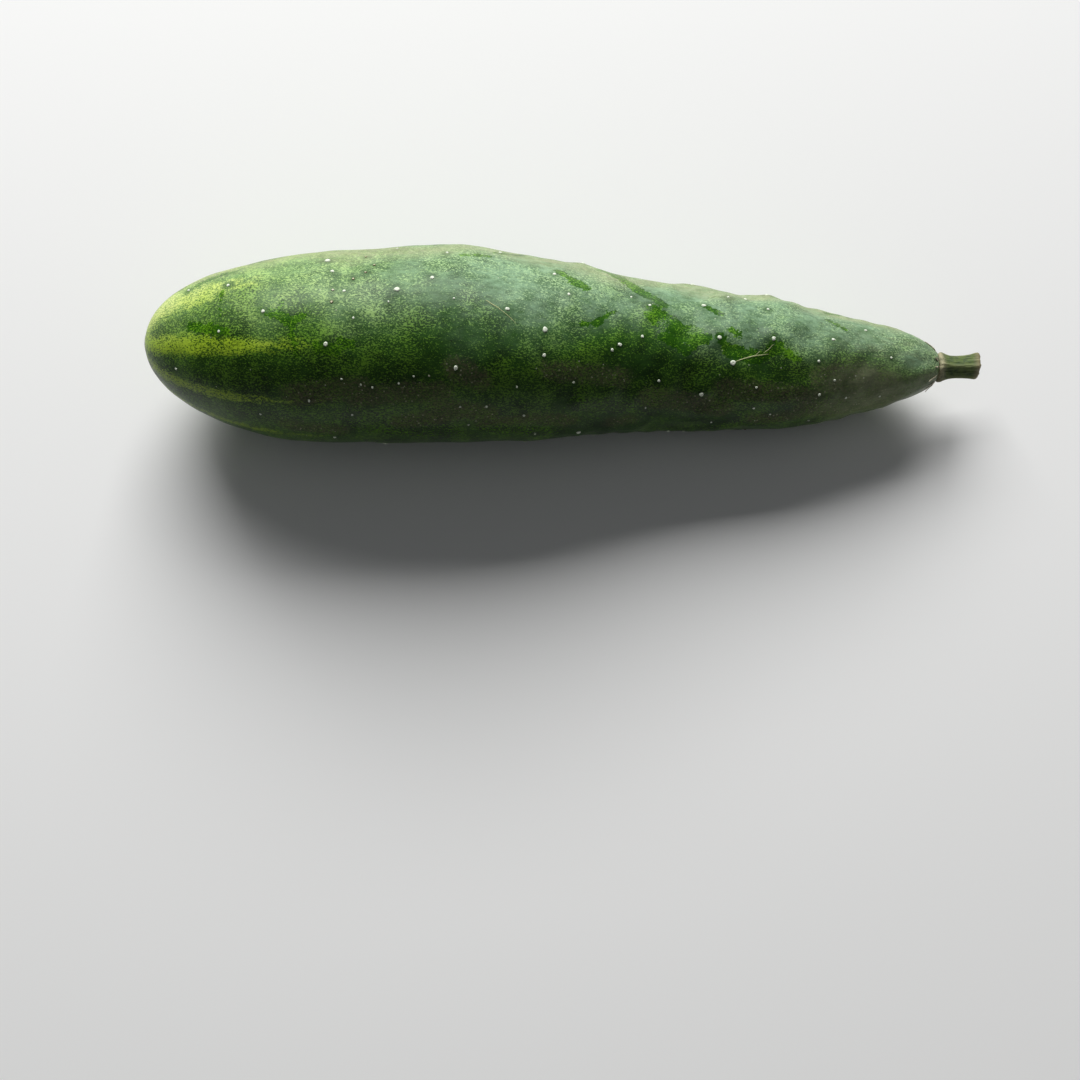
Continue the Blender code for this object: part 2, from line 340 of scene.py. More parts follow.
# Wax bloom and painted sheen: thick over the top and the side towards the light, thin on the side away from it, raised
# again along the upper rim; partly real wax, partly painted sheen and light
wax_and_painted_sheen = smooth(under + 1.3 * wander + 10 * smooth(X, 120, 190), -22, 20) * (0.80 + 0.20 * smooth(X, 40, 130))
wax_and_painted_sheen = np.maximum(wax_and_painted_sheen, 0.30 * smooth(-under, 110, 150))
wax_and_painted_sheen = wax_and_painted_sheen * (0.88 + 0.16 * waves(X, A, 10, 30, 6) + 0.08 * waves(X, A, 12, 9, 14))
wax_and_painted_sheen = wax_and_painted_sheen + 0.34 * smooth(up_turn, 18, 50)
wax_and_painted_sheen = wax_and_painted_sheen * (1 - 0.80 * smooth(up_turn + wander, 73, 98))
wax_and_painted_sheen = np.clip(wax_and_painted_sheen + 0.02, 0, 1.3)

# ---------------------------------------------------------------------------------------
# Helpers that make meshes and materials
# ---------------------------------------------------------------------------------------


def new_piece(name, points, faces, material, uv=None, attributes=None, smooth_faces=True):
    mesh = bpy.data.meshes.new(name)
    mesh.from_pydata([tuple(p) for p in points], [], faces)
    mesh.validate()
    for poly in mesh.polygons:
        poly.use_smooth = smooth_faces
    for key, value in (attributes or {}).items():
        value = np.asarray(value, np.float32)
        if value.ndim == 2:
            layer = mesh.attributes.new(key, 'FLOAT_VECTOR', 'POINT')
            layer.data.foreach_set('vector', value.ravel())
        else:
            layer = mesh.attributes.new(key, 'FLOAT', 'POINT')
            layer.data.foreach_set('value', value)
    if uv is not None:
        layer = mesh.uv_layers.new(name='OFBake')
        layer.data.foreach_set('uv', np.asarray(uv, np.float32).ravel())
    mesh.materials.append(material)
    piece = bpy.data.objects.new(name, mesh)
    bpy.context.scene.collection.objects.link(piece)
    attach(piece, "root")
    return piece


class Nodes:
    """Short names for the nodes of one material."""

    def __init__(self, name):
        self.material = bpy.data.materials.new(name)
        self.material.use_nodes = True
        self.tree = self.material.node_tree
        self.shader = self.tree.nodes['Principled BSDF']

    def put(self, socket, value):
        if isinstance(value, bpy.types.NodeSocket):
            self.tree.links.new(value, socket)
        elif isinstance(value, (tuple, list)) and socket.type == 'RGBA' and len(value) == 3:
            socket.default_value = (*value, 1.0)
        else:
            socket.default_value = value

    def math(self, operation, a, b=0.0, c=None, clamp=False):
        node = self.tree.nodes.new('ShaderNodeMath')
        node.operation = operation
        node.use_clamp = clamp
        self.put(node.inputs[0], a)
        self.put(node.inputs[1], b)
        if c is not None:
            self.put(node.inputs[2], c)
        return node.outputs[0]

    def add(self, a, b):
        return self.math('ADD', a, b)

    def times(self, a, b):
        return self.math('MULTIPLY', a, b)

    def attribute(self, name, vector=False):
        node = self.tree.nodes.new('ShaderNodeAttribute')
        node.attribute_name = name
        return node.outputs['Vector' if vector else 'Fac']

    def place(self, scale=(1, 1, 1)):
        """Object coordinates in millimetres, stretched by a scale along each axis."""
        coords = self.tree.nodes.new('ShaderNodeTexCoord').outputs['Object']
        node = self.tree.nodes.new('ShaderNodeVectorMath')
        node.operation = 'MULTIPLY'
        self.put(node.inputs[0], coords)
        node.inputs[1].default_value = tuple(1000.0 * s for s in scale)
        return node.outputs[0]

    def noise(self, where, scale, detail=2.0, rough=0.5, distortion=0.0):
        node = self.tree.nodes.new('ShaderNodeTexNoise')
        self.put(node.inputs['Vector'], where)
        node.inputs['Scale'].default_value = scale
        node.inputs['Detail'].default_value = detail
        node.inputs['Roughness'].default_value = rough
        node.inputs['Distortion'].default_value = distortion
        return node.outputs['Fac']

    def voronoi(self, where, scale, feature='F1', output='Distance', random=1.0):
        node = self.tree.nodes.new('ShaderNodeTexVoronoi')
        node.feature = feature
        self.put(node.inputs['Vector'], where)
        node.inputs['Scale'].default_value = scale
        node.inputs['Randomness'].default_value = random
        return node.outputs[output]

    def ramp(self, value, low, high, to_low=0.0, to_high=1.0):
        node = self.tree.nodes.new('ShaderNodeMapRange')
        node.interpolation_type = 'SMOOTHSTEP'
        self.put(node.inputs['Value'], value)
        node.inputs['From Min'].default_value = low
        node.inputs['From Max'].default_value = high
        node.inputs['To Min'].default_value = to_low
        node.inputs['To Max'].default_value = to_high
        return node.outputs['Result']

    def mix(self, share, a, b):
        node = self.tree.nodes.new('ShaderNodeMix')
        node.data_type = 'RGBA'
        self.put(node.inputs[0], share)
        self.put(node.inputs[6], a)
        self.put(node.inputs[7], b)
        return node.outputs[2]

    def blend(self, share, a, b):
        """Mix of two numbers."""
        return self.add(self.times(a, self.math('SUBTRACT', 1.0, share)), self.times(b, share))

    def bump(self, height, distance):
        node = self.tree.nodes.new('ShaderNodeBump')
        node.inputs['Strength'].default_value = 1.0
        node.inputs['Distance'].default_value = distance
        self.put(node.inputs['Height'], height)
        self.put(self.shader.inputs['Normal'], node.outputs['Normal'])


# ---------------------------------------------------------------------------------------
# The rind's material
# ---------------------------------------------------------------------------------------


def rind_material():
    n = Nodes('cucumber_rind')
    here = n.place()
    grain = n.place((0.42, 1, 1))
    streak = n.place((0.10, 1, 1))
    wax_and_painted_sheen_map, painted_shade_side_map = n.attribute('wax_and_painted_sheen'), n.attribute('painted_shade_side')
    ground_map, cloud_map = n.attribute('ground'), n.attribute('cloud')
    stripe_map = n.attribute('stripe')
    wiped_map, dusty_map, scar_map = n.attribute('wiped'), n.attribute('dusty'), n.attribute('scar_near')
    length_map = n.attribute('length')

    coarse_noise = n.noise(here, 0.12, 3, 0.55)
    middle_noise = n.noise(grain, 0.50, 4, 0.65)
    fleck_noise = n.noise(n.place((0.60, 1, 1)), 2.35, 1.6, 0.6)
    fleck_noise_2 = n.noise(n.place((0.70, 1, 1)), 3.8, 1.0, 0.5)
    streak_noise = n.noise(streak, 0.9, 3, 0.6)
    border_noise = n.noise(here, 0.45, 4, 0.62, 0.6)

    # marks with ragged borders
    ragged = n.add(n.times(n.math('SUBTRACT', border_noise, 0.5), 3.0),
                   n.times(n.math('SUBTRACT', n.noise(here, 1.15, 3, 0.6), 0.5), 2.4))
    wiped_share = n.ramp(n.add(wiped_map, ragged), 0.30, 0.06)
    dusty_share = n.ramp(n.add(dusty_map, n.times(ragged, 1.3)), 1.5, -1.0)
    halo = n.ramp(n.add(scar_map, n.times(n.math('SUBTRACT', middle_noise, 0.5), 2.0)), 2.2, 0.3)

    # green of the rind itself, richer where the wax is wiped off
    green = n.mix(n.ramp(coarse_noise, 0.35, 0.65), (0.0080, 0.0340, 0.0028), (0.0185, 0.0740, 0.0055))
    green = n.mix(n.times(n.ramp(middle_noise, 0.45, 0.75), 0.5), green, (0.036, 0.120, 0.008))
    green = n.mix(n.times(n.ramp(middle_noise, 0.5, 0.25), 0.45), green, (0.006, 0.022, 0.003))
    # painted shade: wiped patches turn darker on the side away from the light
    green = n.mix(n.times(wiped_share, 0.85), green, n.mix(painted_shade_side_map, n.mix(n.ramp(middle_noise, 0.35, 0.65), (0.012, 0.060, 0.002), (0.026, 0.110, 0.003)), (0.010, 0.038, 0.003)))

    # pale stripes from the blossom end: closer, yellower freckles over a lighter green
    broken = n.add(stripe_map, n.times(n.math('SUBTRACT', n.noise(grain, 0.6, 5, 0.75), 0.5), 1.5))
    stripe_share = n.times(n.ramp(broken, 0.32, 0.92), n.ramp(stripe_map, 0.02, 0.25))
    stripe_share = n.times(stripe_share, n.math('SUBTRACT', 1.0, n.times(wiped_share, 0.8)))
    stripe_share = n.times(stripe_share, n.math('SUBTRACT', 1.0, n.times(halo, 0.8)))
    # the stripes' green is paler still where the wax-and-sheen mask is high: partly painted light on the top side
    green = n.mix(n.times(stripe_share, n.blend(n.math('MINIMUM', wax_and_painted_sheen_map, 1.0), 0.30, 0.55)), green,
                  n.mix(n.math('MINIMUM', wax_and_painted_sheen_map, 1.0), (0.060, 0.160, 0.008), (0.300, 0.460, 0.100)))

    # freckles: fine, yellow-green and slightly drawn out along the fruit
    density = n.noise(here, 0.16, 2, 0.5)
    limit = n.add(n.times(n.math('SUBTRACT', 0.5, density), 0.26), 0.555)
    limit = n.add(limit, n.times(cloud_map, 0.07))
    limit = n.math('SUBTRACT', limit, n.times(wiped_share, 0.015))
    limit = n.math('SUBTRACT', limit, n.times(stripe_share, 0.072))
    fleck = n.ramp(n.math('SUBTRACT', fleck_noise, limit), 0.0, 0.045)
    fleck_2 = n.ramp(n.math('SUBTRACT', fleck_noise_2, limit), 0.01, 0.06)
    fleck = n.math('MAXIMUM', fleck, n.times(fleck_2, 0.7))
    fleck = n.times(fleck, n.math('SUBTRACT', 1.0, n.times(halo, 0.75)))
    # painted shade: fewer freckles on the side away from the light
    fleck = n.times(fleck, n.math('SUBTRACT', 1.0, n.times(painted_shade_side_map, 0.20)))
    bluer = n.ramp(length_map, 5, 105)
    # freckles are paler under wax and painted sheen on the lit top side, in the stripes too
    waxed_and_sheened_fleck = n.mix(bluer, (0.430, 0.620, 0.160), (0.400, 0.580, 0.280))
    wax_veil_and_sheen = n.times(n.math('MINIMUM', wax_and_painted_sheen_map, 1.0), n.math('SUBTRACT', 1.0, n.times(wiped_share, 0.9)))
    fleck_colour = n.mix(wax_veil_and_sheen, n.mix(wiped_share, (0.135, 0.300, 0.020), (0.145, 0.350, 0.011)), waxed_and_sheened_fleck)
    fleck_colour = n.mix(stripe_share, fleck_colour, n.mix(n.math('MINIMUM', wax_and_painted_sheen_map, 1.0), (0.430, 0.640, 0.030), (0.700, 0.760, 0.260)))
    base = n.mix(n.times(fleck, 0.78), green, fleck_colour)

    # waxy bloom with painted sheen: bluish grey-green, thickest on the lit top side where it also stands in for sheen
    # and light, thicker in cloudy patches, wiped off in others
    wax_and_sheen = n.add(n.times(wax_and_painted_sheen_map, 0.52), n.times(n.times(cloud_map, wax_and_painted_sheen_map), 0.26))
    wax_and_sheen = n.times(wax_and_sheen, n.ramp(n.noise(grain, 0.9, 3, 0.65), 0.28, 0.68, 0.55, 1.15))
    wax_and_sheen = n.times(wax_and_sheen, n.ramp(n.noise(n.place((0.45, 1, 1)), 0.30, 4, 0.6), 0.32, 0.62, 0.62, 1.12))
    wax_and_sheen = n.times(wax_and_sheen, n.math('SUBTRACT', 1.0, n.times(wiped_share, 0.95)))
    wax_and_sheen = n.times(wax_and_sheen, n.math('SUBTRACT', 1.0, n.times(stripe_share, 0.35)))
    wax_and_sheen = n.times(wax_and_sheen, n.math('SUBTRACT', 1.0, n.times(halo, 0.40)))
    base = n.mix(wax_and_sheen, base, n.mix(bluer, (0.265, 0.440, 0.155), (0.225, 0.365, 0.220)))
    over = n.times(n.times(fleck, 0.50), n.math('SUBTRACT', 1.0, n.times(wiped_share, 0.85)))
    over = n.times(over, n.math('SUBTRACT', 1.0, n.times(cloud_map, 0.45)))
    base = n.mix(over, base, fleck_colour)
    pit = n.ramp(n.math('SUBTRACT', limit, fleck_noise), 0.06, 0.16)
    base = n.mix(n.times(pit, 0.07), base, (0.012, 0.045, 0.006))

    # the pale side that lay on the ground while it grew
    lain = n.times(ground_map, n.ramp(streak_noise, 0.25, 0.7, 0.55, 1.0))
    lain = n.times(lain, n.math('SUBTRACT', 1.0, n.times(wiped_share, 0.6)))
    base = n.mix(n.times(lain, 0.66), base, n.mix(n.ramp(border_noise, 0.35, 0.65), (0.255, 0.285, 0.135), (0.375, 0.385, 0.225)))

    # dry brownish dust and grit on the lower side, a grey film, and painted shade on the side away from the light
    speckle = n.ramp(n.noise(here, 1.6, 3, 0.7), 0.40, 0.66, 0.20, 1.0)
    dust = n.times(n.times(dusty_share, speckle), 0.62)
    base = n.mix(dust, base, (0.150, 0.125, 0.075))
    grit_cells = n.voronoi(here, 1.15)
    grit_pick = n.voronoi(here, 1.15, output='Color')
    grit_split = n.tree.nodes.new('ShaderNodeSeparateColor')
    n.tree.links.new(grit_pick, grit_split.inputs[0])
    grit = n.times(n.ramp(grit_cells, 0.36, 0.16), n.ramp(grit_split.outputs[2], 0.50, 0.95, 0.0, 1.0))
    grit = n.times(grit, n.ramp(border_noise, 0.38, 0.60, 0.15, 1.0))
    grit = n.times(grit, n.add(n.times(dusty_share, 1.0), n.times(painted_shade_side_map, 0.12)))
    base = n.mix(n.times(grit, 0.80), base, (0.520, 0.500, 0.360))
    film = n.times(n.times(painted_shade_side_map, n.ramp(coarse_noise, 0.4, 0.7)), 0.06)
    film = n.times(film, n.math('SUBTRACT', 1.0, wiped_share))
    # painted shade: the side away from the light is darkened by up to a quarter, fading out towards the stalk end
    base = n.mix(n.times(n.times(painted_shade_side_map, 0.24), n.ramp(length_map, 205, 165)), base, (0.004, 0.011, 0.002))
    base = n.mix(film, base, (0.085, 0.085, 0.050))

    # stalk end: greyer, with fine lengthwise striae
    far = n.ramp(length_map, 170, 210)
    base = n.mix(n.times(far, n.ramp(streak_noise, 0.35, 0.75, 0.08, 0.34)), base, (0.260, 0.310, 0.175))
    base = n.mix(n.times(n.times(n.ramp(length_map, 182, 204), painted_shade_side_map),
                         n.ramp(border_noise, 0.35, 0.65, 0.30, 0.65)), base, (0.235, 0.265, 0.150))

    # tiny dark specks of dirt and pale pin-points
    cells = n.voronoi(here, 0.33)
    picked = n.voronoi(here, 0.33, output='Color')
    red = n.tree.nodes.new('ShaderNodeSeparateColor')
    n.tree.links.new(picked, red.inputs[0])
    dirt = n.times(n.ramp(cells, 0.085, 0.055), n.ramp(red.outputs[0], 0.80, 0.82))
    base = n.mix(n.times(dirt, 0.85), base, (0.012, 0.010, 0.006))
    point = n.times(n.ramp(cells, 0.075, 0.045), n.ramp(red.outputs[1], 0.72, 0.74))
    base = n.mix(n.times(point, 0.75), base, (0.52, 0.56, 0.42))

    # corky scar of the flower at the blossom end
    disc = n.attribute('blossom_disc')
    cork = n.mix(n.ramp(n.noise(here, 1.4, 4, 0.65), 0.35, 0.65), (0.120, 0.100, 0.045), (0.360, 0.330, 0.190))
    base = n.mix(n.times(n.ramp(n.add(disc, n.times(n.math('SUBTRACT', middle_noise, 0.5), 0.8)), 0.25, 0.85), 0.9),
                 base, cork)
    n.put(n.shader.inputs['Base Color'], base)

    # roughness: wax is dull, wiped rind is glossier, dust is dry
    rough = n.add(0.36, n.times(wax_and_sheen, 0.34))
    rough = n.add(rough, n.times(n.math('SUBTRACT', middle_noise, 0.5), 0.16))
    rough = n.blend(wiped_share, rough, 0.27)
    rough = n.blend(n.times(dusty_share, 0.8), rough, 0.66)
    rough = n.add(rough, n.times(ground_map, 0.10))
    n.put(n.shader.inputs['Roughness'], n.math('MINIMUM', n.math('MAXIMUM', rough, 0.2), 0.8))
    n.shader.inputs['Specular IOR Level'].default_value = 0.17
    n.shader.inputs['Coat Weight'].default_value = 0.03
    n.shader.inputs['Coat Roughness'].default_value = 0.20

    # relief too fine for the mesh: pores, freckle tops, striae and wrinkles
    height = n.add(n.times(fleck_noise, 0.55), n.times(n.noise(here, 4.5, 2, 0.5), 0.20))
    height = n.add(height, n.times(n.noise(here, 0.45, 3, 0.55), 1.5))
    height = n.add(height, n.times(n.times(streak_noise, n.ramp(length_map, 120, 205, 0.25, 1.0)), 1.1))
    height = n.add(height, n.times(wax_and_sheen, 0.25))
    n.bump(height, 0.00009)
    return n.material


# ---------------------------------------------------------------------------------------
# The rind
# ---------------------------------------------------------------------------------------
count_rings = len(rings)
points = to_world(rings.reshape(-1, 3))
blossom_tip = len(points)
stalk_tip = blossom_tip + 1
tips = to_world([blossom_centre + (0.34, 0, 0), stalk_centre + (-0.48, 0, 0)])
points = np.vstack([points, tips])
travel = np.linalg.norm(np.diff(rings, axis=0), axis=-1).mean(axis=1)
share = np.concatenate([[0], np.cumsum(travel)])
share = 0.004 + 0.992 * share / share[-1]
faces, uv = [], []
for i in range(count_rings - 1):
    for j in range(AROUND):
        k = (j + 1) % AROUND
        faces.append((i * AROUND + j, (i + 1) * AROUND + j, (i + 1) * AROUND + k, i * AROUND + k))
        v0, v1 = j / AROUND, (j + 1) / AROUND
        uv += [(share[i], v0), (share[i + 1], v0), (share[i + 1], v1), (share[i], v1)]
last = (count_rings - 1) * AROUND
for j in range(AROUND):
    k = (j + 1) % AROUND
    v0, v1 = j / AROUND, (j + 1) / AROUND
    faces.append((blossom_tip, j, k))
    uv += [(0.0, (v0 + v1) / 2), (share[0], v0), (share[0], v1)]
    faces.append((stalk_tip, last + k, last + j))
    uv += [(1.0, (v0 + v1) / 2), (share[-1], v1), (share[-1], v0)]


def per_point(field):
    field = np.asarray(field)
    return np.concatenate([field.ravel(), [field[0].mean(), field[-1].mean()]])


scar_disc = np.zeros(X.shape)
scar_disc[:first_body] = 1.0
scar_disc[first_body] = 0.6
rind_piece = new_piece(
    'rind', points, faces, rind_material(), uv=uv,
    attributes={
        'wax_and_painted_sheen': per_point(wax_and_painted_sheen), 'painted_shade_side': per_point(painted_shade_side), 'ground': per_point(ground),
        'cloud': per_point(cloud), 'stripe': per_point(stripe), 'wiped': per_point(wiped),
        'dusty': per_point(dusty), 'scar_near': per_point(scar_near), 'length': per_point(X),
        'blossom_disc': per_point(scar_disc)})
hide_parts("fruit")

# ---------------------------------------------------------------------------------------
# Spine scars: low buttons of dry callus, some with a sunk middle
# ---------------------------------------------------------------------------------------


def callus_material():
    n = Nodes('callus')
    here = n.place()
    tone, middle = n.attribute('tone'), n.attribute('middle')
    mottle = n.noise(here, 3.0, 3, 0.6)
    pale = n.mix(n.ramp(mottle, 0.3, 0.7), (0.60, 0.67, 0.50), (0.86, 0.89, 0.78))
    pale = n.mix(n.times(n.ramp(middle, 0.30, 0.0), 0.55), pale, (0.30, 0.36, 0.22))
    brown = n.mix(n.ramp(middle, 0.35, 0.7), (0.60, 0.57, 0.38), (0.100, 0.075, 0.025))
    base = n.mix(n.ramp(tone, 0.35, 0.75), pale, brown)
    base = n.mix(n.times(n.ramp(middle, 0.90, 1.0), 0.40), base, (0.06, 0.11, 0.04))
    n.put(n.shader.inputs['Base Color'], base)
    n.put(n.shader.inputs['Roughness'], n.ramp(mottle, 0.3, 0.7, 0.42, 0.62))
    n.shader.inputs['Specular IOR Level'].default_value = 0.5
    n.bump(n.noise(here, 5.0, 2, 0.5), 0.00004)
    return n.material


callus = callus_material()


def frame_at(x, angle):
    """Point, normal and two tangents (along and round) on the rind, in millimetres in the fruit's own frame."""
    x, angle = np.array(float(x)), np.array(float(angle))
    p = rind(x, angle)
    nrm = facing(x, angle)
    along = rind(x + 0.15, angle) - rind(x - 0.15, angle)
    along /= np.linalg.norm(along)
    round_ = np.cross(nrm, along)
    return p, nrm, along, round_ / np.linalg.norm(round_)


points, faces, tones, middles = [], [], [], []
r = np.random.default_rng(5)
SIDES = 14
for sx, sa, size, tone in SCARS:
    p, nrm, along, round_ = frame_at(sx, radians(sa))
    if p[2] < 1.0:
        continue
    R = size / 2 * 0.93
    h = 0.12 + 0.12 * size
    stretch, lean = r.uniform(0.9, 1.15), r.uniform(0, pi)
    wobble = [r.uniform(-0.06, 0.06) for _ in range(4)]
    sunk = 0.55 if tone > 0.5 else (0.75 if r.random() < 0.4 else 1.0)
    profile = ((0.0, h * sunk), (0.30, h * (0.4 + 0.6 * sunk)), (0.55, h), (0.78, h * 0.84), (0.94, h * 0.45), (1.05, -0.02), (1.10, -0.25))
    start = len(points)
    points.append(p + nrm * profile[0][1])
    tones.append(tone)
    middles.append(0.0)
    for share_r, lift in profile[1:]:
        for j in range(SIDES):
            a = 2 * pi * j / SIDES
            rr = R * share_r * (1 + wobble[0] * cos(2 * a) + wobble[1] * sin(2 * a)
                                + wobble[2] * cos(3 * a) + wobble[3] * sin(3 * a))
            points.append(p + nrm * lift + along * rr * stretch * cos(a) + round_ * rr / stretch * sin(a))
            tones.append(tone)
            middles.append(share_r / 1.10)
    for j in range(SIDES):
        k = (j + 1) % SIDES
        faces.append((start, start + 1 + j, start + 1 + k))
    for ring in range(len(profile) - 2):
        a0, b0 = start + 1 + ring * SIDES, start + 1 + (ring + 1) * SIDES
        for j in range(SIDES):
            k = (j + 1) % SIDES
            faces.append((a0 + j, b0 + j, b0 + k, a0 + k))
    faces.append(tuple(reversed(range(start + 1 + (len(profile) - 2) * SIDES, start + 1 + (len(profile) - 1) * SIDES))))
scars = new_piece('spine_scars', to_world(points), faces, callus,
                  attributes={'tone': tones, 'middle': middles})

# ---------------------------------------------------------------------------------------
# Scratches healed to thin pale cork: X, angle pairs along each, half width
# ---------------------------------------------------------------------------------------
SCRATCHES = (
    (((95.2, 8), (97.0, 6), (99.2, 3.2)), 0.16),
    (((98.8, 3.4), (101.0, 0.6), (103.4, -4.0)), 0.10),
    (((162.6, -17.2), (165.2, -13.5), (168.7, -10.2), (171.8, -8.6)), 0.16),
    (((170.4, -8.0), (171.8, -4.5), (173.0, -0.5)), 0.10),
    (((168.0, -11.0), (169.4, -6.5)), 0.08),
    (((86.0, 128), (91.0, 131), (97.0, 130)), 0.14),
    (((140.0, 205), (146.0, 208), (151.0, 206)), 0.13),
    (((62.0, 222), (67.0, 219)), 0.12),
)


def cork_material():
    n = Nodes('healed_scratch')
    here = n.place()
    mottle = n.noise(here, 2.5, 3, 0.6)
    n.put(n.shader.inputs['Base Color'],
          n.mix(n.ramp(mottle, 0.3, 0.7), (0.30, 0.34, 0.13), (0.50, 0.54, 0.28)))
    n.put(n.shader.inputs['Roughness'], n.ramp(mottle, 0.3, 0.7, 0.5, 0.7))
    n.bump(n.noise(here, 6.0, 2, 0.5), 0.00003)
    return n.material


points, faces = [], []
for line, half in SCRATCHES:
    knots = np.array(line, float)
    t = np.linspace(0, len(knots) - 1, 10 * (len(knots) - 1) + 1)
    xs = np.interp(t, range(len(knots)), knots[:, 0])
    an = np.interp(t, range(len(knots)), knots[:, 1])
    xs[1:-1] = (xs[:-2] + 2 * xs[1:-1] + xs[2:]) / 4
    an[1:-1] = (an[:-2] + 2 * an[1:-1] + an[2:]) / 4 + 0.12 * np.sin(5 * t[1:-1])
    places = [frame_at(a, radians(b)) for a, b in zip(xs, an)]
    start = len(points)
    for i, (p, nrm, along, round_) in enumerate(places):
        ahead = places[min(i + 1, len(places) - 1)][0] - places[max(i - 1, 0)][0]
        ahead /= np.linalg.norm(ahead)
        side = np.cross(nrm, ahead)
        w = half * (0.25 + 0.75 * sin(pi * (i + 0.3) / (len(places) - 0.4))**0.5)
        for k in range(8):
            a = 2 * pi * k / 8
            points.append(p + side * w * cos(a) + nrm * (w * 0.55 * sin(a) + 0.01))
    for i in range(len(places) - 1):
        for k in range(8):
            m = (k + 1) % 8
            faces.append((start + i * 8 + k, start + i * 8 + m, start + (i + 1) * 8 + m, start + (i + 1) * 8 + k))
    faces.append(tuple(reversed(range(start, start + 8))))
    faces.append(tuple(range(start + (len(places) - 1) * 8, start + len(places) * 8)))
scratches = new_piece('scratches', to_world(points), faces, cork_material())

# ---------------------------------------------------------------------------------------
# Stalk stub
# ---------------------------------------------------------------------------------------
STALK_GAP = 0.3
STALK_LENGTH = 12.0
STALK_BEND = (1.3, -0.9)
STALK_STATIONS = np.array((
    (0.0, 3.7), (0.5, 4.2), (1.2, 4.1), (2.2, 3.5), (3.6, 3.15), (5.4, 3.0), (7.4, 3.05),
    (9.2, 3.25), (10.6, 3.55), (11.5, 3.6), (12.0, 3.2)))


def stalk_material():
    n = Nodes('stalk_skin')
    here = n.place()
    fibre = n.place((0.12, 1, 1))
    along, ridge, cut = n.attribute('along'), n.attribute('ridge'), n.attribute('cut')
    strands = n.noise(fibre, 2.2, 4, 0.6)
    blotch = n.noise(here, 0.8, 3, 0.6)
    skin = n.mix(n.ramp(blotch, 0.35, 0.65), (0.030, 0.060, 0.012), (0.085, 0.130, 0.030))
    skin = n.mix(n.times(n.ramp(strands, 0.45, 0.7), 0.55), skin, (0.20, 0.24, 0.085))
    skin = n.mix(n.times(n.ramp(ridge, 0.2, 1.0), 0.35), skin, (0.24, 0.26, 0.11))
    foot = n.ramp(along, 2.6, 0.4)
    skin = n.mix(n.times(foot, n.ramp(blotch, 0.3, 0.6, 0.35, 0.85)), skin, (0.42, 0.38, 0.24))
    dry = n.ramp(along, 9.6, 11.9)
    skin = n.mix(n.times(dry, 0.75), skin, (0.30, 0.25, 0.14))
    pith = n.mix(n.ramp(n.noise(here, 1.8, 4, 0.65), 0.35, 0.65), (0.32, 0.29, 0.16), (0.58, 0.53, 0.34))
    skin = n.mix(cut, skin, pith)
    n.put(n.shader.inputs['Base Color'], skin)
    n.put(n.shader.inputs['Roughness'], n.ramp(blotch, 0.3, 0.7, 0.55, 0.78))
    n.shader.inputs['Specular IOR Level'].default_value = 0.4
    n.bump(n.add(n.times(strands, 1.0), n.times(n.noise(here, 3.5, 3, 0.6), 0.5)), 0.00022)
    return n.material


STALK_SIDES = 100
foot = np.array((LAST_X + STALK_GAP, float(spline(2, np.array(LAST_X))), float(spline(3, np.array(LAST_X)))))
stations = np.concatenate([np.linspace(0, 1.4, 12), np.linspace(1.6, 10.4, 46), np.linspace(10.6, 12.0, 12)])
radii = np.interp(stations, STALK_STATIONS[:, 0], STALK_STATIONS[:, 1])
for _ in range(3):
    radii[1:-1] = (radii[:-2] + 2 * radii[1:-1] + radii[2:]) / 4
turns = 2 * pi * np.arange(STALK_SIDES) / STALK_SIDES
r = np.random.default_rng(9)
phase = r.uniform(0, 2 * pi, 8)
points, along_s, ridge_s, cut_s = [], [], [], []
# from the middle of the foot out to its edge
rows = [(0.0, radii[0] * s, 0.0) for s in (0.25, 0.6, 0.9)]
rows += [(s, q, 0.0) for s, q in zip(stations, radii)]
# and over the torn cut end to its middle
rows += [(12.0 + d, radii[-1] * s, 1.0) for d, s in ((0.05, 0.95), (-0.05, 0.88), (-0.22, 0.78), (-0.30, 0.64), (-0.18, 0.50), (-0.30, 0.36), (-0.42, 0.22), (-0.45, 0.08))]
for s, q, cut in rows:
    t = min(s, 12.0) / STALK_LENGTH
    middle = foot + np.array((s, STALK_BEND[0] * t**2, STALK_BEND[1] * t**2))
    twist = 0.35 * t
    five = np.cos(5 * (turns + twist))
    sharp = np.sign(five) * np.abs(five)**1.3
    grow = min(1.0, s / 2.0)
    radius = q * (1 + 0.075 * grow * sharp + 0.022 * grow * np.cos(10 * (turns + twist) + 1.1)
                  + 0.012 * np.cos(17 * turns + 5 * t + phase[0]) + 0.010 * np.cos(26 * turns - 7 * t + phase[1]))
    if s < 1.6:
        radius = radius * (1 + 0.05 * np.cos(5 * turns + 2.0) * (1 - s / 1.6) + 0.02 * np.cos(13 * turns) * (1 - s / 1.6))
    x = np.full(STALK_SIDES, middle[0])
    if cut:
        x = x + 0.10 * np.cos(7 * turns + 9 * q) + 0.06 * np.cos(13 * turns - 5 * q)
    points += [(x[j], middle[1] + radius[j] * sin(turns[j]), middle[2] + radius[j] * cos(turns[j])) for j in range(STALK_SIDES)]
    along_s += [s] * STALK_SIDES
    ridge_s += list(np.clip(five, 0, 1) * grow)
    cut_s += [cut if q < radii[-1] * 0.93 else 0.0] * STALK_SIDES
n_rows = len(rows)
faces = [(i * STALK_SIDES + j, (i + 1) * STALK_SIDES + j, (i + 1) * STALK_SIDES + (j + 1) % STALK_SIDES,
          i * STALK_SIDES + (j + 1) % STALK_SIDES) for i in range(n_rows - 1) for j in range(STALK_SIDES)]
faces.append(tuple(range(STALK_SIDES)))
faces.append(tuple(reversed(range((n_rows - 1) * STALK_SIDES, n_rows * STALK_SIDES))))
